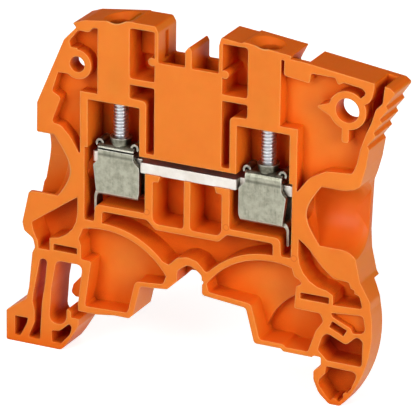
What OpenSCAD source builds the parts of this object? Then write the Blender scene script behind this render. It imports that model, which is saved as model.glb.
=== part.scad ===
// Feed-through terminal block for a 35 mm mounting rail.
// +X runs along the block's length, the open side faces -Y and +Z points away from the rail.
// The origin is the middle of the rail seat. Outlines are drawn in X and Z from the body's own
// middle line, and depths are measured backwards from the open face.

/* [Housing] */
// Width of the block along the rail
thickness = 5.2; // [4.9:0.1:6]
// Closed wall behind the deep pockets
web = 0.8; // [0.6:0.1:1]
// Depth of the shallow pockets beside the towers
side_depth = 1.8; // [1.2:0.1:2]
// Depth of the pockets in the two legs
leg_depth = 2.8; // [2:0.1:3.6]
// Thin wall between a shallow pocket and the hollow behind it
skin = 0.7; // [0.5:0.1:1]
// Height of the screw towers above the rail
tower_h = 41; // [40:0.1:43]
// Width of the flat front of a tower
tower_w = 4.8; // [4.4:0.1:5]
// Half width of the panel between the towers
panel_half = 4.75; // [4.4:0.05:5]
// Height of the panel's top edge, where the jumper slots open
panel_top = 36.15; // [35:0.05:37]
// Wall of the panel in front of the jumper slots
panel_wall = 0.8; // [0.6:0.1:1.2]
// Thickness of the post between the cells and of the divider between the slots
post_w = 0.9; // [0.7:0.1:1.2]
// Radius of the arched rib over each leg, on its lower side
arch_r = 11.05; // [10.8:0.05:11.3]
// Thickness of the arched ribs
arch_rib = 0.85; // [0.6:0.05:1]

/* [Rail and feet] */
// Width of the rail
rail_w = 35; // [34.6:0.1:35.4]
// Thickness of the rail's flange
rail_t = 1; // [0.8:0.1:1.2]
// Distance from the rail's middle to the body's middle
rail_shift = 1.5; // [1:0.1:2]
// Room between the flange and the hook that holds it
rail_gap = 0.15; // [0.1:0.05:0.3]
// Depth of the feet below the rail seat
foot_drop = 6; // [5.6:0.1:6.6]

/* [Clamps] */
// Distance of each clamp screw from the body's middle
clamp_x = 10.45; // [10.2:0.05:10.7]
// Depth of the screw axes behind the open face
clamp_depth = 2.05; // [2:0.05:2.2]
// Height of the window's upper edge
window_top = 29.6; // [28.6:0.1:30]
// Height of the window's floor
window_floor = 15.4; // [15:0.1:15.8]
// Half width of the upper part of a window
window_half = 3.6; // [3.5:0.05:3.8]
// Frame round the windows
frame_w = 0.95; // [0.7:0.05:1.1]
// Bore for the screwdriver
driver_d = 3; // [2.8:0.1:3.1]
// Bore for a wire
wire_d = 3.3; // [2.8:0.1:3.4]
// Height of the wire above the rail
wire_z = 19.4; // [19.2:0.1:19.6]
// Depth of the wire bores behind the open face
wire_depth = 2.65; // [2.4:0.05:2.65]

/* [Current bar] */
// Length over both ends
bar_l = 28.4; // [27:0.1:28.6]
// Height of the underside above the rail
bar_z = 20.8; // [20.4:0.1:21]
// Thickness
bar_t = 1.4; // [1:0.1:1.6]
// Width of the middle stretch
bar_w = 3.8; // [3:0.1:3.9]
// Width of the necks that pass through the cages
neck_w = 1.6; // [1.2:0.1:1.7]

/* [Clamp cages] */
// Sheet thickness
sheet = 0.6; // [0.4:0.05:0.7]
// Reach of a cage from its screw towards the block's middle
cage_in = 3.4; // [3.2:0.05:3.5]
// Reach of a cage from its screw towards the wire
cage_out = 3.2; // [3:0.05:3.4]
// Width of the narrow upper part
cage_neck_w = 5.1; // [4.6:0.1:5.3]
// Depth of a cage across the bar
cage_depth = 3.3; // [3.2:0.05:3.5]
// Height from the underside to the top of the folded sheet
cage_h = 7.2; // [7:0.1:7.4]
// Height of the threaded collar on top
collar_h = 0.9; // [0.6:0.1:1.2]
// Diameter of the threaded collar
collar_d = 2.9; // [2.8:0.1:3.2]
// Length of the guard tongue below the cage
tongue_l = 2.5; // [2:0.1:3]

/* [Clamp screws] */
// Thread diameter
screw_d = 2; // [1.8:0.1:2.2]
// Head diameter
head_d = 3.2; // [2.9:0.1:3.25]
// Head height
head_h = 2.2; // [1.8:0.1:2.6]
// Running clearance round the thread, measured on the radius
thread_gap = 0.05; // [0.03:0.01:0.08]
// Height of the screw's tip
screw_tip = 22.6; // [22.5:0.1:23]

/* [Peg holes] */
// Diameter of the left hole
left_hole_d = 2.1; // [1.8:0.1:2.4]
// Diameter of the right hole
right_hole_d = 3.2; // [2.8:0.1:3.4]
// Wall of the rings round the holes
ring_wall = 0.95; // [0.8:0.05:1.1]

/* [Hidden] */
$fn = 48;

// Cuts run this far past the faces that they open
past = 1;
// How far the flats of a rounded corner may stay inside its true arc
arc_sag = 0.03;
deep = thickness - web;
left_edge = rail_shift - rail_w / 2;
right_edge = rail_shift + rail_w / 2;

// Heights above the wire funnels are drawn for towers of this height, and stretch with the real ones
drawn_h = 41;
shoulder = 24;
function high(z) = shoulder + (z - shoulder) * (tower_h - shoulder) / (drawn_h - shoulder);
function stretched(points) = [for (p = points) [p[0], high(p[1]), p[2]]];

// Outlines of the feet are drawn from the edges of the rail
function moved(points, x) = [for (p = points) [p[0] + x, p[1], p[2]]];

// Places of the two peg holes
left_hole = [-15.75, high(34.1)];
right_hole = [22.05, high(34.2)];

// Window of one clamp, measured from the body's middle
window_in = clamp_x - window_half;
window_out = clamp_x + window_half + 0.2;
window_low_in = window_in - 0.85;
window_low_out = window_out + 0.45;
bar_room = 0.85;
window_step = bar_z + bar_t + bar_room;

// Screw head, its chamber in the tower and the floor that carries it
seat_t = 1.1;

// Height of the dished entry over each driver bore
dish_h = 1.1;
head_room = 0.05;
head_z = window_top + seat_t + head_room;
chamber_d = head_d + 0.4;
chamber_top = head_z + head_h + 1.2;

// Number of gripping ridges on the flap
ridges = 4;

// Cages: gap in the lap on top, room over the bar and height of the underside when the clamp is open
lap_gap = 0.2;
bar_clear = 0.1;
cage_z = bar_z + bar_t + bar_clear + 2 * sheet + lap_gap - cage_h;

// Arched ribs: middle of each circle
arch_mid = [12, 1];

// Rounded back edge of the right flank: middle and radius of its arc, and the wall inside it
flank_mid = [right_edge - 9.6, 5];
flank_r = 16.75;
flank_wall = 0.4;

function unit(v) = v / norm(v);

// Points of the arc that rounds corner b between its neighbours a and c; b is [x, z, radius]
function corner(a, b, c) =
    let (
        at = [b[0], b[1]],
        before = [a[0], a[1]] - at,
        after = [c[0], c[1]] - at,
        u = unit(before),
        v = unit(after),
        half = acos(max(-1, min(1, u * v))) / 2
    )
    half > 88 ? [at] :
    let (
        reach = min(b[2] / tan(half), 0.48 * min(norm(before), norm(after))),
        mid = at + unit(u + v) * reach / cos(half),
        from = at + u * reach - mid,
        to = at + v * reach - mid,
        r = norm(from),
        start = atan2(from[1], from[0]),
        turn = atan2(from[0] * to[1] - from[1] * to[0], from * to),
        steps = max(1, ceil(abs(turn) / (2 * acos(max(0, 1 - arc_sag / r)))))
    )
    [for (i = [0 : steps]) mid + r * [cos(start + turn * i / steps), sin(start + turn * i / steps)]];

// Outline from a list of [x, z, corner radius]
function rounded(points) =
    let (n = len(points))
    [for (i = [0 : n - 1])
        each (points[i][2] > 0
            ? corner(points[(i + n - 1) % n], points[i], points[(i + 1) % n])
            : [[points[i][0], points[i][1]]])];

// Points along a circle about mid, between two angles
function arc(mid, r, from, to, steps) =
    [for (i = [0 : steps]) let (a = from + (to - from) * i / steps) [mid[0] + r * cos(a),
    mid[1] + r * sin(a), 0]];

function flipped(points) = [for (i = [len(points) - 1 : -1 : 0]) [-points[i][0],
    points[i][1], points[i][2]]];

// Flat shape in X and Z, given a body between two depths
module span(from, to) {
    translate([0, to - thickness / 2, 0])
        rotate([90, 0, 0])
            linear_extrude(to - from)
                children();
}

module plate(points, from, to) {
    span(from, to) polygon(rounded(points));
}

// Hollow that is open at the front
module pocket(points, depth) {
    plate(points, -past, depth);
}

// Round bar along Y between two depths
module rod(at, r, from, to) {
    translate([at[0], to - thickness / 2, at[1]])
        rotate([90, 0, 0])
            cylinder(r = r, h = to - from);
}

// Upright cylinder on a clamp's axis
module upright(side, r, from, to) {
    translate([side * clamp_x, clamp_depth - thickness / 2, from])
        cylinder(r = r, h = to - from);
}

module both_sides() {
    children();
    mirror([1, 0, 0]) children();
}

// Places the body so that the middle of the rail is the origin
module on_rail() {
    translate([-rail_shift, 0, 0]) children();
}

// Outline of the whole moulding, clockwise from the left tower's lip
body_outline = concat(
    [
        // left tower
        [-16.4, tower_h - 1.4, 0.1], [-14.8, tower_h - 0.8, 0.6], [-7.9, tower_h + 0.1, 0.1],
        [-7.7, tower_h, 0.1], [-panel_half + 0.05, tower_h, 0.3],
        [-panel_half + 0.5, tower_h - 0.8, 0.3],
        // jumper slots and the fin between them
        [-panel_half + 0.5, panel_top, 0.2], [-post_w / 2, panel_top, 0.2],
        [-post_w / 2, panel_top + 2.2, 0.1], [0.1, panel_top + 2.9, 0.15],
        [post_w / 2, panel_top + 2.3, 0.1], [post_w / 2, panel_top, 0.2],
        [panel_half - 0.5, panel_top, 0.2],
        // right tower
        [panel_half - 0.5, tower_h - 1.1, 0.3], [panel_half - 0.2, tower_h, 0.2], [7.4, tower_h - 0.3, 0.1],
        [7.7, tower_h - 0.1, 0.1], [14.3, tower_h - 0.87, 0.1], [14.1, tower_h - 1.3, 0.05],
        // marker slab and ridged flap
        [16.3, tower_h - 1.45, 0.1], [27.7, tower_h - 2.9, 0.5], [28.5, tower_h - 3.5, 0.3]
    ],
    flap_ridges(),
    [
        [24.75, high(27), 1], [24.2, high(24.9), 0.6], [23.75, 23.6, 0.5],
        // right funnel's edge and lower lug
        [23.6, 20, 2], [23.5, 16.8, 1], [23.65, 14.4, 1], [24.35, 11.4, 0.6], [25.85, 8.9, 0.9],
        [25.85, 7.9, 0]
    ],
    arc(flank_mid, flank_r, 7.5, -38, 12),
    [
        // right foot and its fixed hook
        [right_edge + 2.9, -foot_drop, 0.5], [right_edge + 1.4, -foot_drop, 0.6],
        [right_edge - 0.1, 1.3 - foot_drop, 1.2], [right_edge - 0.85, -3, 0.8],
        [right_edge - 0.85, -rail_t - 0.8, 0.3], [right_edge + rail_gap, -rail_t, 0.2],
        [right_edge + rail_gap, 0.25, 0.25], [right_edge - 0.85, 0.25, 0.2], [right_edge - 1.1, 0, 0.1],
        // right seat and the arch over the rail's middle
        [13.9, 0, 0.15], [13.5, 0.35, 0.15], [9.75, 0.35, 0.4], [8.5, 5, 0.5], [2.25, 5.6, 0.4],
        [2.25, 7, 0.2],
        [2.6, 7.6, 0.2], [-0.6, 7.6, 0.4], [-2.7, 5.45, 0.4], [-6.6, 5.1, 0.4], [-7.6, 0.9, 0.3],
        // left seat
        [-8.2, 0.35, 0.3], [-10.3, 0.35, 0.2], [-12.9, 0, 0.2], [left_edge + 0.4, 0, 0.2],
        [left_edge + 0.4, 1, 0.2], [left_edge + 1.05, 6.5, 0.7],
        // open gap behind the sprung hook
        [left_edge - 2.8, 6.5, 0.8], [left_edge - 3.5, 2.5, 1], [left_edge - 3.85, -2.4, 1],
        [left_edge - 1.3, -2.4, 1.2], [left_edge - 1.25, 0.2, 0.2],
        [left_edge - 0.65, -0.4, 0.1], [left_edge - 0.65, -rail_t - rail_gap, 0.1],
        [left_edge + 0.5, -rail_t - rail_gap, 0.1], [left_edge + 0.45, -2.2, 0.2],
        // sprung foot
        [left_edge - 1, 1.4 - foot_drop, 1], [left_edge - 2, -foot_drop, 0.8],
        [left_edge - 10.15, -foot_drop, 0.2],
        [left_edge - 10.15, -1.8, 0.3], [left_edge - 7.2, 0.3, 0.4], [left_edge - 6.8, 2, 0.8],
        [left_edge - 6.3, 7, 0.3], [-21.9, 7.8, 0.4],
        // left lower lug, funnel's edge and upper lug
        [-22.2, 9, 0.6], [-23.5, 9.9, 0.5], [-23.75, 11, 0.5], [-22.8, 15.35, 0.4],
        [-22.5, 15.9, 0.4], [-21.95, 19, 2], [-21.65, 21.7, 2], [-21.1, 23.95, 0.1], [-21.6, 23.9, 0.5],
        [-21.55, high(28), 0.4], [-17.65, high(37.2), 0.5],
        [-15.9, tower_h - 1.95, 0.1]
    ]
);

// Gripping ridges down the outside of the flap, from the top
function flap_ridges() =
    let (top = [27.55, high(35.2)], step = [-0.8, high(33.3) - high(35.2)], bite = [-0.3, 0.45])
    [for (i = [0 : ridges - 1]) let (tip = top + i * step)
        each [[tip[0] + bite[0], tip[1] + bite[1], 0.08], [tip[0], tip[1], 0.08]]];

// Window for one clamp, with the slot for the cage's guard tongue
function window() = [
    [window_in, window_top, 0.15], [window_in, bar_z, 0], [window_low_in, bar_z, 0],
    [window_low_in, window_floor, 0.3], [clamp_x + 2.7, window_floor, 0.7],
    [clamp_x + 2.85, 13, 0.2], [window_low_out, 13, 0.2], [window_low_out, window_step, 0],
    [window_out, window_step, 0], [window_out, window_top, 0.15]
];

// Cell under the bar, with the step that carries the bar
function cell() = [
    [post_w / 2, bar_z, 0], [post_w / 2, 14.2, 0.5], [4.9, 14.2, 0.9], [4.9, 19.9, 0.2],
    [4.1, 20, 0.1], [3.85, bar_z, 0]
];

// Hollow between the window floors, the cells and the arched ribs
function belly() = [
    [-12.15, window_floor - 0.85, 0.4], [-5.7, window_floor - 0.85, 0.3], [-4.5, 13.4, 0.6],
    [4.5, 13.4, 0.6], [5.7, window_floor - 0.85, 0.3], [12.15, window_floor - 0.85, 0.4],
    [12.15, 12, 0], [2.7, 8.9, 0.3], [1.5, 10.1, 0.5], [0.1, 10.45, 0.8], [-1.3, 10.1, 0.5],
    [-2.5, 8.9, 0.3], [-12.15, 12, 0]
];

// Wire funnel: a bore through the window's wall flares into a round trough, open at the front and end
module funnel(side, top, bottom) {
    inner = 14;
    reach = 27;
    half = (top - bottom) / 2;
    // the trough just touches the wall at the back
    trough_r = (half * half + deep * deep) / (2 * deep);
    lip_end = 23.5;
    flare_from = window_low_out + 1.2;
    flare_l = 6.6;
    flare_r = wire_d / 2 + 1.12 * flare_l;
    intersection() {
        plate([[side * inner, top + 0.25, 0], [side * 23.1, top + 0.25, 0.5], [side * reach, top + 3, 0],
            [side * reach, bottom - 4, 0], [side * inner, bottom - 4, 0]], -past, deep);
        along_wire(side, wire_depth, wire_z)
            polygon([[0, window_low_out - 0.4], [wire_d / 2, window_low_out - 0.4], [wire_d / 2, flare_from],
                [flare_r, flare_from + flare_l], [flare_r, reach], [0, reach]]);
        along_wire(side, deep - trough_r, bottom + half)
            polygon(rounded([[0, inner, 0], [trough_r, inner, 0], [trough_r, lip_end, 2.5],
                [trough_r + 8, lip_end + 2.5, 0], [trough_r + 8, reach, 0], [0, reach, 0]]));
    }
}

// Round shape about a line along X at the given depth and height; the profile gives radius and distance
module along_wire(side, depth, z) {
    translate([0, depth - thickness / 2, z])
        rotate([0, side * 90, 0])
            rotate_extrude()
                children();
}

// Mouth of the left funnel, which falls away behind the front lip of the lug
module left_mouth() {
    lip = 0.35;
    fall = 0.55;
    top = 15.62;
    translate([-24, -thickness / 2, 0])
        rotate([90, 0, 90])
            linear_extrude(4.8)
                polygon([[lip, top], [deep, top - fall * (deep - lip)], [deep, wire_z], [lip, wire_z]]);
}

// Curved hollows in the lower lugs
function lug_sweep() = arc([19.9, 13.7], 4.2, -92, -180, 5);
function left_lug() = flipped(concat(
    [[15.7, 15.9, 0.1], [22.4, 11.25, 0.3], [22.1, 10, 0.4], [21.5, 8.8, 0.4], [21.4, 7.75, 0.1],
    [19.75, 7.75, 0]],
    lug_sweep()
));
function right_lug() = concat(
    [[15.7, 15.9, 0.1], [17.1, 14.8, 1], [18.9, 12.75, 2], [20.6, 11.35, 1.5], [22.8, 11.2, 0.2],
    [23.1, 10.4, 0.1],
     [23.6, 10.3, 0.1], [23.6, 9.8, 0.1], [24.3, 9.6, 0.3], [24.75, 7.9, 0.3], [20.65, 7.7, 0],
     [20.65, 9, 0]],
    lug_sweep()
);

// Narrow slot in a lug and the groove just below it
module slot_box(side, in, out, z) {
    pocket([[side * in, z + 0.85, 0.1], [side * out, z + 0.85, 0.1], [side * out, z, 0.1],
        [side * in, z, 0.1]], deep);
}

// Hollow of a leg: the outline below the arched rib
module leg_pocket(points, side, depth) {
    intersection() {
        pocket(points, depth);
        rod([side * arch_mid[0], arch_mid[1]], arch_r, -2 * past, thickness);
    }
}

left_leg = [
    [-13, 14, 0], [-14.7, 12.2, 0.6], [-15.55, 10.1, 0.3], [-15.2, 9.3, 0.2], [left_edge + 0.8, 7.35, 0.2],
    [left_edge + 2.3, 7.3, 0.3], [left_edge + 1.4, 0.85, 0.3], [-8.4, 1.1, 0.5], [-7.3, 5.7, 0.7],
    [-3.3, 6.05, 0.5], [-2.7, 7.8, 0.3],
    [-4, 14, 0]
];

right_leg = [
    [13, 14, 0], [14.7, 12.2, 0.6], [15.2, 10.6, 0.3], [15.9, 10.3, 0.3], [16.3, 9.8, 0.2],
    [15.5, 9.3, 0.2],
    [15.3, 6.3, 0.2], [right_edge - 0.1, 6.25, 0.5], [right_edge + 0.4, 5.2, 0.5],
    [right_edge - 0.6, 3.8, 0.5],
    [right_edge - 1.7, 0.65, 0.3], [14.2, 0.65, 0.2],
    [13.7, 1, 0.2], [10.5, 1, 0.4], [9.2, 5.7, 0.7], [3.2, 6.2, 0.3], [2.8, 7.6, 0.3], [4, 14, 0]
];

module belly_pocket() {
    difference() {
        pocket(belly(), deep - 0.8);
        both_sides() rod(arch_mid, arch_r + arch_rib, -2 * past, thickness);
    }
}

// Upper hollows on both sides of a tower, and the slim groove beside the panel
module tower_cells() {
    inner = panel_half;
    outer = clamp_x - tower_w / 2 + 0.25;
    bar_top = window_top + frame_w + 2.05;
    pocket([[inner, tower_h - 0.8, 0.2], [outer, tower_h - 0.8, 0.4], [outer, bar_top + 0.85, 0.4],
        [inner, bar_top + 0.85, 0.2]], deep);
    pocket([[inner, bar_top, 0.2], [outer, bar_top, 0.2], [outer, window_top + frame_w + 0.2, 0.3],
        [window_in - frame_w, window_top + frame_w + 0.1, 0.6],
        [window_in - frame_w, window_step + 0.55, 0.2],
        [inner, window_step + 0.55, 0.2]], deep);
}

module jumper_slots() {
    side = panel_half - 0.5;
    groove = side + 0.3;
    groove_top = tower_h - 1.2;
    // upright groove in the side of each tower, above its slot
    both_sides()
        plate([[side - past, panel_top + 0.1, 0], [groove, panel_top + 0.1, 0], [groove, groove_top, 0],
            [side - past, groove_top, 0]], clamp_depth, clamp_depth + 0.9);
    both_sides()
        plate([[post_w / 2, panel_top + past, 0], [panel_half - 0.65, panel_top + past, 0],
            [panel_half - 0.65, window_step - 0.1, 0], [post_w / 2, window_step - 0.1, 0]], panel_wall, deep);
}

// Shallow hollow beside the left tower, round its peg hole
module left_side_pocket() {
    tower_side = -clamp_x - tower_w / 2;
    difference() {
        pocket([[tower_side, tower_h - 1.6, 0.1], [-13.6, tower_h - 1.7, 0.2], [-14.1, tower_h - 2.3, 0.3],
            [-15.7, tower_h - 2.3, 0.2], [-16.9, high(37.1), 0.3], [-16.6, high(36), 0],
            [-17.6, high(33), 0],
            [-18.4, high(32.9), 0.2], [-19.4, high(29.9), 0.3], [-18.1, high(29.2), 0.4],
            [-19.5, high(25.5), 0.4],
            [-18.2, high(25.5), 1.2], [-16.7, shoulder, 2],
            [-window_out - frame_w - 0.15, 21.8, 0.1], [-window_out - frame_w - 0.15,
            window_top + frame_w, 0],
            [tower_side, window_top + frame_w, 0]], side_depth);
        rod(left_hole, left_hole_d / 2 + ring_wall, -2 * past, thickness);
        plate(stretched([[-20, 36.3, 0], [-15.75, 36.3, 0], [-15.75, 32.6, 0],
            [-20, 32.6, 0]]), -2 * past, thickness);
    }
}

// Inner side of the ridged flap, from the top down
flap_inside = stretched([
    [26.95, 37.4, 0.1], [26.8, 35.95, 0.2], [25.9, 34.95, 0.4], [25.3, 33, 1], [24.65, 31.5, 1],
    [23.9, 29.3, 0.5]
]);

// Shallow hollow beside the right tower, under the marker slab
module right_side_pocket() {
    tower_side = clamp_x + tower_w / 2;
    difference() {
        pocket(concat(
            [[tower_side, tower_h - 1.6, 0.1], [13.3, tower_h - 1.6, 0.1], [13.3, tower_h - 3.6, 0.3],
             [16.85, tower_h - 4.05, 0.3], [16.95, tower_h - 2.7, 0.3], [20.3, tower_h - 2.75, 0.2],
             [20.7, tower_h - 3.6, 0.2], [21.5, tower_h - 3.2, 0.3], [24, tower_h - 3.55, 0.4],
             [24.6, tower_h - 4.15, 0.4], [23.7, high(36), 0.1], [23, high(34.6), 0],
             [24.15, high(35.2), 0],
             [24.95, high(35.7), 0.3], [25.4, high(36.5), 0.3], [25.6, high(37.6), 0],
             [25.8, tower_h + past, 0],
             [27.5, tower_h + past, 0]],
            flap_inside,
            stretched([[23.5, 27.3, 0.4], [22.9, 25.9, 0.4], [19.3, 25.6, 1.5], [17, 24.3, 2]]),
            [[window_out + frame_w + 0.1, 22, 0.1], [window_out + frame_w + 0.1, window_top + frame_w, 0],
             [tower_side, window_top + frame_w, 0]]
        ), side_depth);
        rod(right_hole, right_hole_d / 2 + ring_wall, -2 * past, thickness);
        plate(stretched([[19.9, 34.9, 0], [17.7, 34.15, 0.2], [19.9, 33, 0]]), -2 * past, thickness);
        plate(stretched([[21.35, 32, 0], [22.3, 32, 0], [22.3, 29.9, 0.3],
            [21.35, 29.9, 0.3]]), -2 * past, thickness);
    }
}

// Groove between the marker slab and the flap, open at the top
module marker_groove() {
    pocket(concat(
        [[25.8, tower_h + past, 0], [27.5, tower_h + past, 0]],
        flap_inside,
        stretched([[23.7, 29.2, 0.1], [24.1, 31.5, 0.5], [24.75, 33.4, 0.5], [24.8, 35.2, 0.3],
            [25.35, 36.3, 0.3],
            [25.6, 37.6, 0]])
    ), deep - 0.2);
}

// Hollows in the back, behind the two peg holes, which the holes open into
module back_hollows() {
    floor_at = side_depth + skin;
    hole_room = 0.6;
    under = window_top + frame_w + 0.9;
    plate(stretched([[-13.9, 36, 0.6], [-17.2, 36, 0.5], [-18.7, 32.2, 0.6], [-18.3, 31.4, 0.5],
        [-13.9, 31.4, 0.6]]),
        floor_at, thickness + past);
    span(floor_at, thickness + past) {
        polygon(rounded(concat(
            stretched([[14, 35.7, 0.6], [23.3, 35.7, 0.6], [23.3, 31.5, 0.6], [22.2, 27, 0.6],
                [17, 26, 0.6]]),
            [[16.8, under, 0.6], [14, under, 0.6]]
        )));
        translate(right_hole) circle(r = right_hole_d / 2 + hole_room);
    }
}

// Gap between the right tower and the marker slab, open at the back
module slab_notch() {
    slot_floor = tower_h - 3.35;
    gap_top = tower_h + 2 * past;
    plate([[13 + (gap_top - slot_floor) / 2, gap_top, 0], [13, slot_floor, 0.4], [14.4, slot_floor, 0.6],
        [16.7, tower_h - 1.3, 0.1], [16.7, gap_top, 0]], panel_wall, thickness + past);
}

// Hollows in the right foot, kept inside the wall of the flank
module right_foot_pockets() {
    toe_floor = 0.6 - foot_drop;
    upper = [[-0.3, 1.2, 0.3], [0.2, 3, 0.6], [0.9, 3.75, 0.6], [3.6, 2.6, 0.6], [5.1, 4, 0.5],
        [5.9, 3.5, 0.4],
        [5.85, -0.05, 0.4], [1, -0.05, 0.6]];
    toe = [[0.9, -0.85, 0.2], [5.4, -0.95, 0.6], [4.4, -3.4, 0.5], [2.9, toe_floor, 0.3],
        [1.4, toe_floor, 0.5],
        [-0.2, -3.5, 0.6], [0.1, -2.6, 0.3], [0.8, -1.9, 0.2]];
    // small tilted hollow with its frame, in a shallow step
    tilted = [[1.6, 5.5, 0.1], [3.7, 4.6, 0.1], [3.2, 3.7, 0.1], [1.2, 4.6, 0.1]];
    shallow = [[1.3, 6.6, 0.3], [5.9, 7, 0.4], [6.2, 5, 0.6], [5.7, 4.5, 0.3], [4.5, 4.3, 0.3],
        [4.2, 5, 0.2],
        [1.7, 6.05, 0.2]];
    intersection() {
        union() {
            pocket(moved(upper, right_edge), deep - 0.8);
            pocket(moved(toe, right_edge), leg_depth);
            pocket(moved(tilted, right_edge), leg_depth);
            pocket(moved(shallow, right_edge), side_depth / 2);
        }
        rod(flank_mid, flank_r - flank_wall, -2 * past, thickness);
    }
}

// Small round posts on the rim of the toe's hollow
module toe_posts() {
    post_r = 0.42;
    by_flank = flank_mid + (flank_r - post_r) * [cos(35.2), -sin(35.2)];
    for (at = [[right_edge - 0.05, -2.25], by_flank, [right_edge + 2.1, 0.5 - foot_drop]])
        rod(at, post_r, 0, leg_depth + 0.1);
}

module sprung_foot_cuts() {
    floor_z = 0.9 - foot_drop;
    // slot that lets the hook's arm bend
    arm_slot = [[-5.15, 6.4, 0.45], [-4.1, 6.4, 0.45], [-4.45, 3, 1], [-4.9, 0, 1], [-5.2, floor_z, 0.2],
        [-6.9, floor_z, 0.2], [-6, -2.8, 0.6], [-6, -1.1, 0.5], [-6.3, 0.1, 0.4], [-6.1, 1.6, 1]];
    toe = [[-8.9, -2.4, 0.1], [-7, -2.4, 0.1], [-7.1, -3.1, 0.2], [-8.1, floor_z, 0.3],
        [-8.9, floor_z, 0.1]];
    hook = [[-3.5, -3.5, 0.2], [-2.3, -3.35, 0.5], [-0.9, -2.1, 0.2], [-0.5, -2.5, 0.2], [-0.8, -3.6, 0.5],
        [-2.1, floor_z, 0.4], [-3.4, floor_z, 0.1]];
    plate(moved(arm_slot, left_edge), -past, thickness + past);
    pocket(moved(toe, left_edge), deep);
    pocket(moved(hook, left_edge), deep);
}

// Sloped edge along the back of the right flank
module flank_relief() {
    translate([flank_mid[0], -thickness / 2, flank_mid[1]])
        rotate([-90, 0, 0])
            rotate([0, 0, -21])
                rotate_extrude(angle = 69)
                    polygon([[flank_r + 0.6, 2.4], [flank_r + 3, 2.4], [flank_r + 3, thickness + past],
                        [flank_r - 1.2, thickness + past], [flank_r - 1.2, thickness - 0.3]]);
}

// Bores on a clamp's axis: driver bore, head chamber and screw hole
module clamp_bores(side) {
    upright(side, driver_d / 2, chamber_top - past, tower_h + past);
    // dished entry, which just takes the edge off the front
    translate([side * clamp_x, clamp_depth - thickness / 2, tower_h - dish_h])
        cylinder(r1 = driver_d / 2, r2 = driver_d / 2 + dish_h, h = dish_h);
    upright(side, chamber_d / 2, window_top + seat_t, chamber_top);
    upright(side, screw_d / 2 + thread_gap, window_top - past, window_top + seat_t + past);
}

// Small stop behind the hook's arm, on the back of the left leg
module bend_stop() {
    stop = [[0.8, 4.4, 0], [-0.4, 3.9, 0.3], [-1.9, 2.2, 0.5], [-2.2, 1, 0.4], [-1.6, 0.5, 0.2],
        [0.6, 0.5, 0]];
    plate(moved(stop, left_edge), leg_depth + 0.4, thickness);
}

// Rooms of both clamps, the bar's channel and the cells below it, as one hollow
module clamp_rooms() {
    span(-past, deep) {
        both_sides() {
            polygon(rounded(window()));
            polygon(rounded(cell()));
        }
        translate([-window_in - 0.2, bar_z])
            square([2 * window_in + 0.4, window_step - bar_z]);
    }
}

// Hollows that leave only the thin wall at the back
module deep_pockets() {
    clamp_rooms();
    both_sides() tower_cells();
    funnel(1, 23.45, 15.45);
    funnel(-1, 23.95, 15.6);
    left_mouth();
    slot_box(-1, 15.75, 19.2, 7.9);
    slot_box(1, 16.1, 20.1, 7.75);
    sprung_foot_cuts();
}

// Shallower hollows
module part_deep_pockets() {
    belly_pocket();
    pocket([[-1.3, 6, 0], [-1.3, 8.3, 0.6], [0.4, 9.6, 1.2], [2.2, 8.3, 0.6], [2.2, 6, 0]], leg_depth);
    leg_pocket(left_leg, -1, leg_depth);
    leg_pocket(right_leg, 1, leg_depth);
    pocket(left_lug(), leg_depth + 0.6);
    pocket(right_lug(), leg_depth + 0.6);
    left_side_pocket();
    right_side_pocket();
    right_foot_pockets();
}

// Moulding with its front hollows, before the bores
module shell() {
    difference() {
        plate(body_outline, 0, thickness);
        deep_pockets();
        part_deep_pockets();
        flank_relief();
    }
}

// Cuts that open into the front hollows or out of the back
module late_cuts() {
    jumper_slots();
    marker_groove();
    back_hollows();
    slab_notch();
    // deeper round step in the right leg
    intersection() {
        leg_pocket(right_leg, 1, leg_depth + 1.2);
        rod([right_edge, -1], 9.2, -2 * past, thickness);
    }
    rod(left_hole, left_hole_d / 2, -past, thickness + past);
    rod(right_hole, right_hole_d / 2, -past, thickness + past);
}

module housing() {
    color("darkorange") on_rail() {
        difference() {
            difference() {
                shell();
                late_cuts();
            }
            for (side = [-1, 1]) clamp_bores(side);
        }
        bend_stop();
        toe_posts();
        cell_block();
        // pegs in the upper cells
        both_sides() rod([panel_half + 0.35, panel_top], 0.55, 0, deep + 0.1);
    }
}

// Raised floor in the upper part of the left tower's cell
module cell_block() {
    plate([[-panel_half - 0.1, tower_h - 0.7, 0], [-panel_half - 3.5, tower_h - 0.7, 0],
        [-panel_half - 3.5, panel_top - 0.2, 0.1], [-panel_half - 0.1, panel_top - 0.2,
        0]], deep - 1, deep + 0.1);
}

// Flat bar with a wide middle and two necks
module current_bar() {
    mid_half = window_in;
    neck_end = bar_l / 2;
    color("whitesmoke") on_rail()
        translate([0, clamp_depth - thickness / 2, bar_z])
            linear_extrude(bar_t)
                polygon(rounded(concat(bar_end(1, mid_half, neck_end), bar_end(-1, mid_half, neck_end))));
}

function bar_end(side, mid_half, neck_end) = [
    [side * mid_half, -side * bar_w / 2, 0.3], [side * mid_half, -side * neck_w / 2, 0.2],
    [side * neck_end, -side * neck_w / 2, 0.3], [side * neck_end, side * neck_w / 2, 0.3],
    [side * mid_half, side * neck_w / 2, 0.2], [side * mid_half, side * bar_w / 2, 0.3]
];

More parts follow.
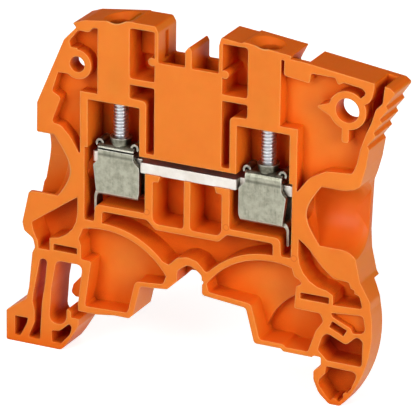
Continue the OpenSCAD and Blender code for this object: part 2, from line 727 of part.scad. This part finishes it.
// Cage folded from one strip: a tube along the bar whose two ends lap over each other on top.
// The free end of the lap shows on the open side of the left cage and at the back of the right one.
module clamp_cage(side) {
    neck = cage_neck_w / 2;
    lap_z = cage_h - sheet;
    color("silver") on_rail()
        translate([side * clamp_x, clamp_depth - thickness / 2, cage_z])
            rotate([0, 0, side > 0 ? 180 : 0])
                difference() {
                    union() {
                        intersection() {
                            along_bar() polygon(rounded(folded_tube()));
                            across_bar(cage_depth) polygon(rounded(cage_front(neck)));
                        }
                        translate([0, 0, lap_z])
                            cylinder(d1 = collar_d - 0.4, d2 = collar_d, h = sheet + collar_h);
                        for (end = [-1, 1]) curled_end(end, neck);
                        guard_tongue();
                    }
                    // inside of the tube
                    along_bar() polygon(rounded(tube_inside()));
                    // open seam of the lap
                    translate([-cage_out - past, -cage_depth / 2 - past, lap_z - lap_gap])
                        cube([cage_out + cage_in + 2 * past, cage_depth - sheet + past, lap_gap]);
                    // threaded hole through the lap and the collar
                    translate([0, 0, cage_h / 2])
                        cylinder(r = screw_d / 2 + thread_gap, h = cage_h / 2 + collar_h + past);
                }
}

// Profile across the bar, given the cage's whole length
module along_bar() {
    reach = cage_out + cage_in;
    rotate([90, 0, 90])
        translate([0, 0, -reach])
            linear_extrude(2 * reach)
                children();
}

// Profile seen from the front, given a depth
module across_bar(depth) {
    rotate([90, 0, 0])
        translate([0, 0, -depth / 2])
            linear_extrude(depth)
                children();
}

// Front outline of a cage, from its underside up; the wire comes from the left
function cage_front(neck) = [
    [-cage_out + 0.5, 0, 0.3], [cage_in - 0.3, 0, 0.3], [cage_in, 1.2, 0.6], [cage_in, cage_h - 2.55, 0.2],
    [neck, cage_h - 1.7, 0.2], [neck, cage_h, 0.1], [-neck, cage_h, 0.1], [-neck, cage_h - 2.3, 0.2],
    [-cage_out, cage_h - 3, 0.2]
];

function folded_tube() =
    let (bend = 0.8, wide = cage_depth / 2)
    [[-wide, 0, bend], [wide, 0, bend], [wide, cage_h, bend], [-wide, cage_h, bend]];

function tube_inside() =
    let (bend = 0.2, wide = cage_depth / 2 - sheet, top = cage_h - 2 * sheet - lap_gap)
    [[-wide, sheet, bend], [wide, sheet, bend], [wide, top, bend], [-wide, top, bend]];

// Ear that is rolled out and down at an end of the top
module curled_end(end, neck) {
    r = 0.58;
    inside = 0.28;
    mouth = 40;
    across_bar(cage_depth - 1)
        translate([end * (neck - 0.05), cage_h - 0.1])
            scale([end, 1])
                difference() {
                    circle(r = r);
                    circle(r = inside);
                    polygon([[0, 0], r * 2 * [cos(mouth), -sin(mouth)], [-0.1, -2 * r], [-0.1, 0]]);
                }
}

// Guard that hangs from the wire's side of the underside
module guard_tongue() {
    wide = cage_depth - 2 * sheet - 0.3;
    strip = 0.35;
    across_bar(wide)
        polygon(rounded([[-cage_out + 1.2, 0, 0], [-cage_out + 1.2, sheet, 0],
            [-cage_out + 0.1, sheet, 0.5],
            [-cage_out - 0.2, -0.3, 0.6], [-cage_out - 0.2, -tongue_l, 0.1],
            [-cage_out - 0.2 + strip, -tongue_l, 0.1],
            [-cage_out - 0.2 + strip, -0.4, 0.5], [-cage_out + 0.4, 0, 0.3]]));
}

module clamp_cage_left() {
    clamp_cage(-1);
}

module clamp_cage_right() {
    clamp_cage(1);
}

// Slotted screw: a head that turns in the tower and a shank down to just above the bar
module clamp_screw(side) {
    slot_w = 0.6;
    slot_depth = 0.9;
    tip = 0.3;
    shank_r = screw_d / 2;
    color("lightsteelblue") on_rail()
        translate([side * clamp_x, clamp_depth - thickness / 2, 0])
            difference() {
                rotate_extrude()
                    polygon([[0, screw_tip], [shank_r - tip, screw_tip], [shank_r, screw_tip + tip],
                        [shank_r, head_z], [head_d / 2, head_z], [head_d / 2, head_z + head_h - tip],
                        [head_d / 2 - tip, head_z + head_h], [0, head_z + head_h]]);
                translate([-head_d, -slot_w / 2, head_z + head_h - slot_depth])
                    cube([2 * head_d, slot_w, slot_depth + past]);
            }
}

module clamp_screw_left() {
    clamp_screw(-1);
}

module clamp_screw_right() {
    clamp_screw(1);
}

housing();
current_bar();
clamp_cage_left();
clamp_cage_right();
clamp_screw_left();
clamp_screw_right();
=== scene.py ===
"""Feed-through terminal block: finishes, threaded screws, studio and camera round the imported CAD."""
import math

import bmesh
import bpy
from mathutils import Matrix, Vector


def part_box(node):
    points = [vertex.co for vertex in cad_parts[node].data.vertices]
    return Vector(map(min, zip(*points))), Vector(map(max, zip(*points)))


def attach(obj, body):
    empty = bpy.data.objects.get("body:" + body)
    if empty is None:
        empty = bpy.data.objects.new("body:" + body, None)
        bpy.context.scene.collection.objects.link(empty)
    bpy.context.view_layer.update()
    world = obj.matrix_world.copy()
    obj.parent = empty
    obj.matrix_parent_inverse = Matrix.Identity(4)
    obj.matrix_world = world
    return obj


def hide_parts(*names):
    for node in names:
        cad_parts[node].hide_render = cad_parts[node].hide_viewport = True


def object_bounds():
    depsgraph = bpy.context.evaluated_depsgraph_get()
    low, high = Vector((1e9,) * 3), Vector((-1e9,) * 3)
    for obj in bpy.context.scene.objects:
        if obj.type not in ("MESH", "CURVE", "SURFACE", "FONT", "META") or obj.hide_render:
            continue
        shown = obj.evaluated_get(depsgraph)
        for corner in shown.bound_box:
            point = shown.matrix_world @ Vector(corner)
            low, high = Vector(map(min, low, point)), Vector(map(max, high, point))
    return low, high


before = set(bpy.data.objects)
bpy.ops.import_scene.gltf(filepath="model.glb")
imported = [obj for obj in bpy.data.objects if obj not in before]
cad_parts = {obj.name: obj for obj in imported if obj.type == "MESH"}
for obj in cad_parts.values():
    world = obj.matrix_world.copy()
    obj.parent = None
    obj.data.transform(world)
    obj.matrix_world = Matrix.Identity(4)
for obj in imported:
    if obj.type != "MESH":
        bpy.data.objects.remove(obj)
cad_low, cad_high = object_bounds()

MM = 0.001
FRONT_MM = cad_low[1] / MM
scene = bpy.context.scene
scene.view_settings.view_transform = "Standard"


# Camera at the photograph's angle: degrees turned to the right, raised and leaning

CAMERA_ANGLES = (25.4, 21.4, 0.7)
CAMERA_AIM_MM = (1.7, -2.6, 18)
CAMERA_DISTANCE = 0.6
CAMERA_LENS, CAMERA_SENSOR = 404.7, 36
CAMERA_CLIP = (0.01, 20)


def photo_camera():
    turn, rise, lean = (math.radians(v) for v in CAMERA_ANGLES)
    back = Vector((math.sin(turn) * math.cos(rise), -math.cos(turn) * math.cos(rise), math.sin(rise)))
    right = Vector((math.cos(turn), math.sin(turn), 0))
    up = back.cross(right)
    across = math.cos(lean) * right + math.sin(lean) * up
    over = -math.sin(lean) * right + math.cos(lean) * up
    place = Vector(CAMERA_AIM_MM) * MM + back * CAMERA_DISTANCE
    lens = bpy.data.cameras.new("photo_camera")
    lens.lens = CAMERA_LENS
    lens.sensor_width = CAMERA_SENSOR
    lens.clip_start, lens.clip_end = CAMERA_CLIP
    camera = bpy.data.objects.new("photo_camera", lens)
    camera.matrix_world = Matrix((
        (across.x, over.x, back.x, place.x),
        (across.y, over.y, back.y, place.y),
        (across.z, over.z, back.z, place.z),
        (0, 0, 0, 1)))
    scene.collection.objects.link(camera)
    scene.camera = camera


photo_camera()


# Node helpers

HOLLOW_SAMPLES, EDGE_SAMPLES = 8, 6
FULL_SHARE = 0.4  # share of its reach within which a place is wholly near


class Surface:
    """One material with its principled shader and short calls for the nodes that feed it."""

    def __init__(self, name):
        self.material = bpy.data.materials.new(name)
        self.material.use_nodes = True
        self.tree = self.material.node_tree
        self.tree.nodes.clear()
        self.shader = self.add("ShaderNodeBsdfPrincipled")
        out = self.add("ShaderNodeOutputMaterial")
        self.link(self.shader.outputs["BSDF"], out.inputs["Surface"])
        self.where = self.add("ShaderNodeTexCoord").outputs["Object"]

    def add(self, kind, **values):
        node = self.tree.nodes.new(kind)
        for key, value in values.items():
            setattr(node, key, value)
        return node

    def link(self, source, target):
        self.tree.links.new(source, target)

    def feed(self, source, name):
        """Drive one of the shader's own inputs."""
        self.link(source, self.shader.inputs[name])

    def set(self, **values):
        for key, value in values.items():
            self.shader.inputs[key.replace("_", " ")].default_value = value

    def stretched(self, x, y, z):
        node = self.add("ShaderNodeMapping")
        node.inputs["Scale"].default_value = (x, y, z)
        self.link(self.where, node.inputs["Vector"])
        return node.outputs["Vector"]

    def noise(self, size_mm, detail, roughness, where=None):
        node = self.add("ShaderNodeTexNoise")
        node.inputs["Scale"].default_value = 1 / (size_mm * MM)
        node.inputs["Detail"].default_value = detail
        node.inputs["Roughness"].default_value = roughness
        self.link(where or self.where, node.inputs["Vector"])
        return node.outputs["Fac"]

    def spread(self, value, low, high, to_low=0.0, to_high=1.0):
        """Map low to to_low and high to to_high, and stop there."""
        node = self.add("ShaderNodeMapRange")
        node.inputs["From Min"].default_value = low
        node.inputs["From Max"].default_value = high
        node.inputs["To Min"].default_value = to_low
        node.inputs["To Max"].default_value = to_high
        self.link(value, node.inputs["Value"])
        return node.outputs["Result"]

    def math(self, what, a, b):
        node = self.add("ShaderNodeMath", operation=what)
        for socket, value in zip(node.inputs, (a, b)):
            if isinstance(value, (int, float)):
                socket.default_value = value
            else:
                self.link(value, socket)
        return node.outputs[0]

    def times(self, a, b):
        return self.math("MULTIPLY", a, b)

    def blend(self, a, share, b):
        """Sum of two textures, of which the first has the given share."""
        return self.math("ADD", self.times(a, share), self.times(b, 1 - share))

    def mix(self, share, a, b, blend="MIX"):
        node = self.add("ShaderNodeMix", data_type="RGBA", blend_type=blend)
        for socket, value in ((node.inputs[0], share), (node.inputs[6], a), (node.inputs[7], b)):
            if isinstance(value, (int, float)):
                socket.default_value = value
            elif isinstance(value, tuple):
                socket.default_value = (*value, 1)
            else:
                self.link(value, socket)
        return node.outputs[2]

    def up_the_piece(self):
        """Height within the piece's own box, from 0 at its lowest to 1 at its highest point."""
        split = self.add("ShaderNodeSeparateXYZ")
        self.link(self.add("ShaderNodeTexCoord").outputs["Generated"], split.inputs[0])
        return split.outputs["Z"]

    def band(self, value, low, low_full, high_full, high):
        """1 between the two full marks, falling to 0 at low and high."""
        return self.math("MINIMUM", self.spread(value, low, low_full), self.spread(value, high, high_full))

    def away_from(self, *point_mm):
        node = self.add("ShaderNodeVectorMath", operation="DISTANCE")
        node.inputs[1].default_value = [v * MM for v in point_mm]
        self.link(self.where, node.inputs[0])
        return node.outputs["Value"]

    def near(self, point_mm, reach_mm):
        """1 round the point, falling to 0 at the reach."""
        return self.spread(self.away_from(*point_mm), reach_mm * MM, FULL_SHARE * reach_mm * MM)

    def hollow(self, reach_mm, inside=False):
        """1 in the open and less in a hollow, or at a thin edge when it looks inside."""
        node = self.add("ShaderNodeAmbientOcclusion", samples=HOLLOW_SAMPLES)
        node.inside = node.only_local = inside
        node.inputs["Distance"].default_value = reach_mm * MM
        return node.outputs["AO"]

    def soft_edges(self, radius_mm):
        node = self.add("ShaderNodeBevel", samples=EDGE_SAMPLES)
        node.inputs["Radius"].default_value = radius_mm * MM
        return node.outputs["Normal"]

    def flatness(self, normal):
        """1 where the softened normal is the face's own, less near an edge."""
        node = self.add("ShaderNodeVectorMath", operation="DOT_PRODUCT")
        self.link(normal, node.inputs[0])
        self.link(self.add("ShaderNodeNewGeometry").outputs["Normal"], node.inputs[1])
        return node.outputs["Value"]

    def facing(self, axis, low, high):
        """1 on faces whose own normal reaches high along the axis, 0 up to low."""
        split = self.add("ShaderNodeSeparateXYZ")
        self.link(self.add("ShaderNodeTexCoord").outputs["Normal"], split.inputs[0])
        return self.spread(split.outputs[axis], low, high)

    def bump(self, height, depth_mm, strength, normal):
        node = self.add("ShaderNodeBump")
        node.inputs["Strength"].default_value = strength
        node.inputs["Distance"].default_value = depth_mm * MM
        self.link(height, node.inputs["Height"])
        self.link(normal, node.inputs["Normal"])
        return node.outputs["Normal"]


# Finishes

# pockets brightened with painted light, each with its place and reach in millimetres
LIT_POCKETS = (
    ((-10.4, 1.0, 34.8), 3.4),  # upper left cell
    ((2.9, 1.2, 35.2), 2.6),  # upper right cell
    ((-24.0, 1.0, 9.0), 3.2),  # left lug
    ((14.2, 1.2, 11.6), 3.4),  # right lug, upper end
    ((17.9, 1.2, 7.9), 3.2),  # right lug, lower end
    ((18.6, 0.4, 3.8), 2.4),  # small slot in the right foot
    ((-23.3, 0.2, 3.4), 3.0),  # arm slot of the sprung foot, upper part
    ((-23.6, 0.2, 0.0), 3.0),  # arm slot of the sprung foot, lower part
)
# places of painted shade: beside the left window's clamp, in the right foot's upper hollow and in the
# right wire funnel, each with its reach in millimetres
WINDOW_CORNER = ((-15.6, 1.2, 24.6), 3.6)
FOOT_HOLLOW = ((18.4, 1.2, 0.3), 3.6)
RIGHT_FUNNEL = ((19.6, 0.6, 19.4), 6.0)
EJECTOR_MARKS = ((-7.24, 15.63), (4.06, 15.55), (13.61, 13.06))
EJECTOR_RING = (0.3, 0.36, 0.42, 0.48)

ORANGE = {
    "flow_dark": (0.765, 0.184, 0.0115),
    "flow_pale": (0.82, 0.212, 0.016),
    "cloud": (0.85, 0.23, 0.022),
    "edge_highlight": (0.94, 0.37, 0.13),
    "top_face_shade": (0.88, 0.142, 0.008),
    "recess_shade": (0.78, 0.132, 0.007),
    "deep_shade": (0.2, 0.01, 0.002),
    "deepest_glow": (0.82, 0.085, 0.005),
    "lit": (0.97, 0.2, 0.014),
    "window": (0.09, 0.006, 0.002),
    "foot_hollow_shade": (0.66, 0.3, 0.6),
    "ring": (0.6, 0.11, 0.007),
    "funnel": (0.66, 0.085, 0.005),
}


def orange_tone(s, flow, cloud, shelter):
    """Colour of the moulding: flow marks, paler rims as painted highlight, redder, darker hollows as
    painted shade, and painted light in some pockets.
    """
    tone = s.mix(s.spread(flow, 0.3, 0.7), ORANGE["flow_dark"], ORANGE["flow_pale"])
    tone = s.mix(s.spread(cloud, 0.35, 0.75, 0, 0.35), tone, ORANGE["cloud"])
    # painted highlight: paler thin edges of the front faces
    thin = s.spread(s.hollow(0.16, inside=True), 0.95, 0.55, 0, 0.85)
    tone = s.mix(s.times(thin, s.facing("Y", -0.4, -0.8)), tone, ORANGE["edge_highlight"])
    # painted shade: faces turned upwards are redder
    tone = s.mix(s.times(s.facing("Z", 0.4, 0.8), 0.85), tone, ORANGE["top_face_shade"])
    # painted shade: hollows turn a redder, darker orange
    tone = s.mix(s.spread(shelter, 0.96, 0.5, 0, 0.95), tone, ORANGE["recess_shade"])
    # painted shade darkens the deep hollows, the narrowest slots get a brighter red as painted light, and
    # painted light reaches further into the upper cells, the lugs and the foot's slots than into the
    # windows
    lit = 0.0
    for place, reach in LIT_POCKETS:
        lit = s.math("MAXIMUM", lit, s.near(place, reach))
    lit = s.times(lit, s.spread(shelter, 0.7, 0.4))
    deep_shade = s.times(s.spread(shelter, 0.33, 0.2, 0, 0.9), s.spread(lit, 0, 1, 1, 0.1))
    tone = s.mix(deep_shade, tone, ORANGE["deep_shade"])
    tone = s.mix(s.spread(shelter, 0.21, 0.08, 0, 0.9), tone, ORANGE["deepest_glow"])
    tone = s.mix(s.times(lit, 0.7), tone, ORANGE["lit"])
    # painted shade: the left window is darkest beside its clamp, and the upper hollow of the right foot is
    # tinted maroon
    window = s.times(s.near(*WINDOW_CORNER), s.spread(shelter, 0.7, 0.4, 0, 0.36))
    tone = s.mix(window, tone, ORANGE["window"])
    hollow = s.times(s.near(*FOOT_HOLLOW), s.spread(shelter, 0.85, 0.5))
    tone = s.mix(hollow, tone, ORANGE["foot_hollow_shade"], "MULTIPLY")
    # faint rings that the ejector pins left on the front rims
    for x, z in EJECTOR_MARKS:
        ring = s.band(s.away_from(x, FRONT_MM, z), *(r * MM for r in EJECTOR_RING))
        tone = s.mix(s.times(ring, 0.6), tone, ORANGE["ring"])
    # painted shade: the right wire funnel is a deeper red, but not the flat back behind it
    funnel = s.times(s.near(*RIGHT_FUNNEL), s.times(s.facing("Y", 0.9, 0.6), 0.6))
    return s.mix(funnel, tone, ORANGE["funnel"])


def orange_plastic():
    s = Surface("orange_moulded_plastic")
    flow = s.noise(9, 3, 0.55)
    cloud = s.noise(1.6, 3, 0.6)
    grain = s.noise(0.16, 4, 0.6)
    shelter = s.hollow(4.5)
    s.feed(orange_tone(s, flow, cloud, shelter), "Base Color")
    s.feed(s.spread(s.blend(cloud, 0.6, grain), 0.3, 0.7, 0.38, 0.52), "Roughness")
    s.set(IOR=1.46)
    # softened edges and hollows shine less than the open faces
    rounding = s.soft_edges(0.27)
    flat = s.spread(s.flatness(rounding), 0.93, 0.998)
    s.feed(s.times(s.spread(shelter, 0.95, 0.55, 0.3, 0.08), flat), "Specular IOR Level")
    s.set(Subsurface_Weight=0.4, Subsurface_Scale=0.0012, Subsurface_Radius=(1.0, 0.35, 0.12))
    normal = s.bump(cloud, 0.03, 0.25, rounding)
    s.feed(s.bump(grain, 0.006, 0.35, normal), "Normal")
    return s.material


NICKEL = {
    "dull": (0.225, 0.226, 0.166),
    "clean": (0.415, 0.408, 0.318),
    "drawn": (0.44, 0.435, 0.345),
    "mark": (0.12, 0.12, 0.09),
    "crevice_shade": (0.045, 0.042, 0.028),
    "dark_olive": (0.07, 0.068, 0.048),
    "bend": (0.74, 0.735, 0.66),
    "edge_highlight": (0.66, 0.655, 0.58),
}


def nickel_steel():
    s = Surface("nickel_plated_steel")
    blotch = s.noise(1.1, 4, 0.65)
    drawn = s.noise(0.35, 3, 0.6, s.stretched(1, 1, 0.12))
    scratch = s.noise(0.2, 2, 0.5, s.stretched(1, 1, 0.06))
    fine = s.noise(0.07, 2, 0.5, s.stretched(1, 1, 0.2))
    tone = s.mix(s.spread(blotch, 0.36, 0.64), NICKEL["dull"], NICKEL["clean"])
    tone = s.mix(s.spread(drawn, 0.35, 0.7, 0, 0.5), tone, NICKEL["drawn"])
    # handling marks, in patches
    marks = s.times(s.spread(scratch, 0.56, 0.68), s.spread(blotch, 0.55, 0.42))
    tone = s.mix(s.times(marks, 0.55), tone, NICKEL["mark"])
    # painted shade: darker in the hollows
    tone = s.mix(s.spread(s.hollow(1.3), 0.82, 0.3, 0, 0.95), tone, NICKEL["crevice_shade"])
    # darker over the lapped top, in patches, a painted shade line along its fold, and a painted highlight
    # along the bottom bend
    height = s.up_the_piece()
    dark_olive = s.times(s.spread(height, 0.85, 0.93, 0, 0.8), s.spread(blotch, 0.62, 0.42, 0.45, 1))
    fold = s.band(height, 0.75, 0.772, 0.784, 0.806)
    tone = s.mix(s.math("MAXIMUM", dark_olive, s.times(fold, 0.6)), tone, NICKEL["dark_olive"])
    bend = s.band(height, 0.23, 0.25, 0.255, 0.30)
    tone = s.mix(s.times(bend, 0.5), tone, NICKEL["bend"])
    # painted highlight: paler thin edges
    tone = s.mix(s.spread(s.hollow(0.25, inside=True), 0.9, 0.45, 0, 0.6), tone, NICKEL["edge_highlight"])
    s.feed(tone, "Base Color")
    s.set(Metallic=1.0)
    s.feed(s.spread(s.blend(blotch, 0.5, drawn), 0.3, 0.7, 0.3, 0.5), "Roughness")
    normal = s.bump(blotch, 0.05, 0.35, s.soft_edges(0.14))
    normal = s.bump(drawn, 0.02, 0.4, normal)
    s.feed(s.bump(fine, 0.004, 0.4, normal), "Normal")
    return s.material


TIN = {
    "dull": (0.66, 0.615, 0.55),
    "clean": (0.79, 0.755, 0.70),
    "hollow": (0.30, 0.22, 0.15),
}


def tinned_bar():
    s = Surface("tinned_copper_bar")
    blotch = s.noise(1.8, 3, 0.6)
    crystal = s.noise(0.22, 3, 0.6)
    tone = s.mix(s.spread(blotch, 0.3, 0.7), TIN["dull"], TIN["clean"])
    # painted shade: the bar's hollows turn a warm brown
    tone = s.mix(s.spread(s.hollow(0.9), 0.7, 0.15, 0, 0.7), tone, TIN["hollow"])
    s.feed(tone, "Base Color")
    s.set(Metallic=1.0)
    s.feed(s.spread(crystal, 0.3, 0.7, 0.32, 0.5), "Roughness")
    s.feed(s.bump(crystal, 0.008, 0.4, s.soft_edges(0.1)), "Normal")
    return s.material


ZINC = {
    "dull": (0.66, 0.685, 0.71),
    "clean": (0.80, 0.82, 0.84),
    "groove": (0.17, 0.17, 0.18),
}


def zinc_steel():
    s = Surface("zinc_plated_screw")
    blotch = s.noise(0.7, 3, 0.6)
    fine = s.noise(0.06, 2, 0.5)
    tone = s.mix(s.spread(blotch, 0.3, 0.7), ZINC["dull"], ZINC["clean"])
    # painted shade: darker in the thread's grooves and the slot
    tone = s.mix(s.spread(s.hollow(0.3), 0.7, 0.2, 0, 0.75), tone, ZINC["groove"])
    s.feed(tone, "Base Color")
    s.set(Metallic=1.0)
    s.feed(s.spread(blotch, 0.3, 0.7, 0.3, 0.42), "Roughness")
    s.feed(s.bump(fine, 0.003, 0.4, s.soft_edges(0.03)), "Normal")
    return s.material


FINISH = {
    "orange_plastic": orange_plastic(),
    "nickel_steel": nickel_steel(),
    "tinned_bar": tinned_bar(),
    "zinc_steel": zinc_steel(),
}


def dress(piece, slot):
    piece.data.materials.clear()
    piece.data.materials.append(FINISH[slot])


for name, slot in (("housing", "orange_plastic"), ("current_bar", "tinned_bar"),
                   ("clamp_cage_left", "nickel_steel"), ("clamp_cage_right", "nickel_steel")):
    dress(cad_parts[name], slot)


# Clamping screws with a real right-hand thread and a slotted head, in millimetres

PITCH, GROOVE_R, CREST_R = 0.45, 0.74, 0.985
FLANK, CREST = 0.3, 0.26  # shares of one pitch
TIP_L = 0.55
TIP_GROOVE, TIP_THREAD = 0.78, 0.2  # shares left at the very tip
RUN_OUT = 0.9  # pitches over which the thread fades below the head
HEAD_H = 2.2
# height above the head's underside, and radius
HEAD_PROFILE = ((0, 1.42), (0.05, 1.55), (0.12, 1.6), (2.0, 1.6), (2.12, 1.56), (2.17, 1.48), (2.2, 1.38))
SLOT_L, SLOT_W, SLOT_DEPTH = 4, 0.6, 0.9
AROUND, RINGS_PER_PITCH = 64, 14
SHARP_ANGLE = math.radians(38)


def thread_height(phase):
    """Height of the thread from 0 in the groove to 1 on the crest, over one pitch."""
    phase %= 1.0
    if phase < FLANK:
        return phase / FLANK
    if phase < FLANK + CREST:
        return 1.0
    if phase < 2 * FLANK + CREST:
        return 1 - (phase - FLANK - CREST) / FLANK
    return 0.0


def screw_mesh(name, low, high, middle):
    pitch, groove, crest, tip = (v * MM for v in (PITCH, GROOVE_R, CREST_R, TIP_L))
    head_low = high.z - HEAD_H * MM
    work = bmesh.new()
    rings = []

    def ring(z, radius_at):
        corners = []
        for k in range(AROUND):
            a = 2 * math.pi * k / AROUND
            r = radius_at(a)
            corners.append(work.verts.new((middle.x + r * math.cos(a), middle.y + r * math.sin(a), z)))
        rings.append(corners)

    count = int((head_low - low.z) / pitch * RINGS_PER_PITCH)
    for i in range(count + 1):
        z = low.z + (head_low - low.z) * i / count
        rise = z - low.z
        start = rise / tip * (1 - TIP_THREAD) + TIP_THREAD
        fade = max(0.0, min(1.0, start, (head_low - z) / (RUN_OUT * pitch)))
        base = groove * min(1.0, TIP_GROOVE + (1 - TIP_GROOVE) * rise / tip)

        def threaded(a, rise=rise, fade=fade, base=base):
            return base + fade * (crest - groove) * thread_height(rise / pitch - a / (2 * math.pi))

        ring(z, threaded)
    for z, r in HEAD_PROFILE:
        ring(head_low + z * MM, lambda a, r=r: r * MM)
    for one, two in zip(rings, rings[1:]):
        for k in range(AROUND):
            work.faces.new((one[k], one[(k + 1) % AROUND], two[(k + 1) % AROUND], two[k]))
    work.faces.new(list(reversed(rings[0])))
    work.faces.new(rings[-1])
    mesh = bpy.data.meshes.new(name)
    work.to_mesh(mesh)
    work.free()
    return mesh


def slotted(piece, middle, top):
    """Cut the driver slot across the head."""
    work = bmesh.new()
    size = Matrix.Diagonal((SLOT_L * MM, SLOT_W * MM, 2 * SLOT_DEPTH * MM, 1))
    bmesh.ops.create_cube(work, size=1, matrix=Matrix.Translation((middle.x, middle.y, top)) @ size)
    tool_mesh = bpy.data.meshes.new("slot_tool")
    work.to_mesh(tool_mesh)
    work.free()
    tool = bpy.data.objects.new("slot_tool", tool_mesh)
    scene.collection.objects.link(tool)
    cut = piece.modifiers.new("slot", "BOOLEAN")
    cut.operation = "DIFFERENCE"
    cut.solver = "EXACT"
    cut.object = tool
    bpy.context.view_layer.update()
    done = bpy.data.meshes.new_from_object(piece.evaluated_get(bpy.context.evaluated_depsgraph_get()))
    piece.modifiers.clear()
    piece.data = done
    bpy.data.objects.remove(tool)


def clamp_screw(side):
    node = f"clamp_screw_{side}"
    low, high = (Vector(v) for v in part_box(node))
    middle = (low + high) / 2
    mesh = screw_mesh(f"threaded_screw_{side}", low, high, middle)
    piece = bpy.data.objects.new(f"threaded_screw_{side}", mesh)
    scene.collection.objects.link(piece)
    slotted(piece, middle, high.z)
    piece.data.shade_smooth()
    piece.data.set_sharp_from_angle(angle=SHARP_ANGLE)
    dress(piece, "zinc_steel")
    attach(piece, f"screw_{side}")
    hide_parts(node)


for side in ("left", "right"):
    clamp_screw(side)


# Studio: a pale floor, soft lights from the right, front, top and back, and a quiet sky

FLOOR_HALF, FLOOR_GAP = 1.5, 0.00001
FLOOR_GREY = (0.7, 0.7, 0.7, 1)
FLOOR_GLOW = 0.74  # with the lamps' light on the floor this comes out white
SKY_BY_HEIGHT = (0.02, 0.42, 0.3, 0.05)  # from, to, and the level at each
SKY_BY_DEPTH = (-0.2, 0.5, 1, 0.15)
LIGHT_AIM_MM = (0, 0, 18)
# name, direction, distance, size, level, seen in reflections
LIGHTS = (
    ("key_right", (0.82, -0.47, 0.3), 0.5, (0.24, 0.26), 0.64, True),
    ("key_front", (-0.25, -0.86, 0.42), 0.5, (0.24, 0.26), 0.56, True),
    ("top_fill", (0.1, -0.25, 0.95), 0.5, (0.3, 0.3), 0.13, False),
    ("back_fill", (-0.3, 0.85, 0.2), 0.6, (0.4, 0.3), 0.5, False),
)


def pale_floor():
    mesh = bpy.data.meshes.new("studio_floor")
    z = cad_low[2] - FLOOR_GAP
    corners = ((-1, -1), (1, -1), (1, 1), (-1, 1))
    mesh.from_pydata([(x * FLOOR_HALF, y * FLOOR_HALF, z) for x, y in corners], [], [(0, 1, 2, 3)])
    floor = bpy.data.objects.new("studio_floor", mesh)
    scene.collection.objects.link(floor)
    material = bpy.data.materials.new("pale_floor")
    material.use_nodes = True
    tree = material.node_tree
    tree.nodes.clear()
    add, link = tree.nodes.new, tree.links.new
    out, both = add("ShaderNodeOutputMaterial"), add("ShaderNodeAddShader")
    matt, glow = add("ShaderNodeBsdfDiffuse"), add("ShaderNodeEmission")
    seen, either, level = add("ShaderNodeLightPath"), add("ShaderNodeMath"), add("ShaderNodeMath")
    matt.inputs["Color"].default_value = FLOOR_GREY
    either.operation = "MAXIMUM"
    level.operation = "MULTIPLY"
    level.inputs[1].default_value = FLOOR_GLOW
    link(seen.outputs["Is Camera Ray"], either.inputs[0])
    link(seen.outputs["Is Glossy Ray"], either.inputs[1])
    link(either.outputs[0], level.inputs[0])
    link(level.outputs[0], glow.inputs["Strength"])
    link(matt.outputs[0], both.inputs[0])
    link(glow.outputs[0], both.inputs[1])
    link(both.outputs[0], out.inputs["Surface"])
    mesh.materials.append(material)


def quiet_sky():
    """Grey near the horizon in front, and darker overhead and behind."""
    world = bpy.data.worlds.new("studio_sky")
    scene.world = world
    world.use_nodes = True
    tree = world.node_tree
    tree.nodes.clear()
    add, link = tree.nodes.new, tree.links.new
    out, sky = add("ShaderNodeOutputWorld"), add("ShaderNodeBackground")
    where, split, level = add("ShaderNodeTexCoord"), add("ShaderNodeSeparateXYZ"), add("ShaderNodeMath")
    level.operation = "MULTIPLY"
    link(where.outputs["Generated"], split.inputs[0])
    for axis, values, target in (("Z", SKY_BY_HEIGHT, 0), ("Y", SKY_BY_DEPTH, 1)):
        ramp = add("ShaderNodeMapRange")
        for socket, value in zip(ramp.inputs[1:5], values):
            socket.default_value = value
        link(split.outputs[axis], ramp.inputs[0])
        link(ramp.outputs[0], level.inputs[target])
    link(level.outputs[0], sky.inputs["Strength"])
    link(sky.outputs[0], out.inputs["Surface"])


def softbox(name, toward, distance, size, level, shine):
    """Soft light; level is how bright a white card facing it comes out."""
    lamp = bpy.data.lights.new(name, "AREA")
    lamp.shape = "RECTANGLE"
    lamp.size, lamp.size_y = size
    lamp.energy = level * math.pi ** 2 * distance ** 2
    light = bpy.data.objects.new(name, lamp)
    toward = Vector(toward).normalized()
    light.location = Vector(LIGHT_AIM_MM) * MM + toward * distance
    light.visible_glossy = shine
    light.rotation_mode = "QUATERNION"
    light.rotation_quaternion = toward.to_track_quat("Z", "Y")
    scene.collection.objects.link(light)


pale_floor()
quiet_sky()
for light in LIGHTS:
    softbox(*light)
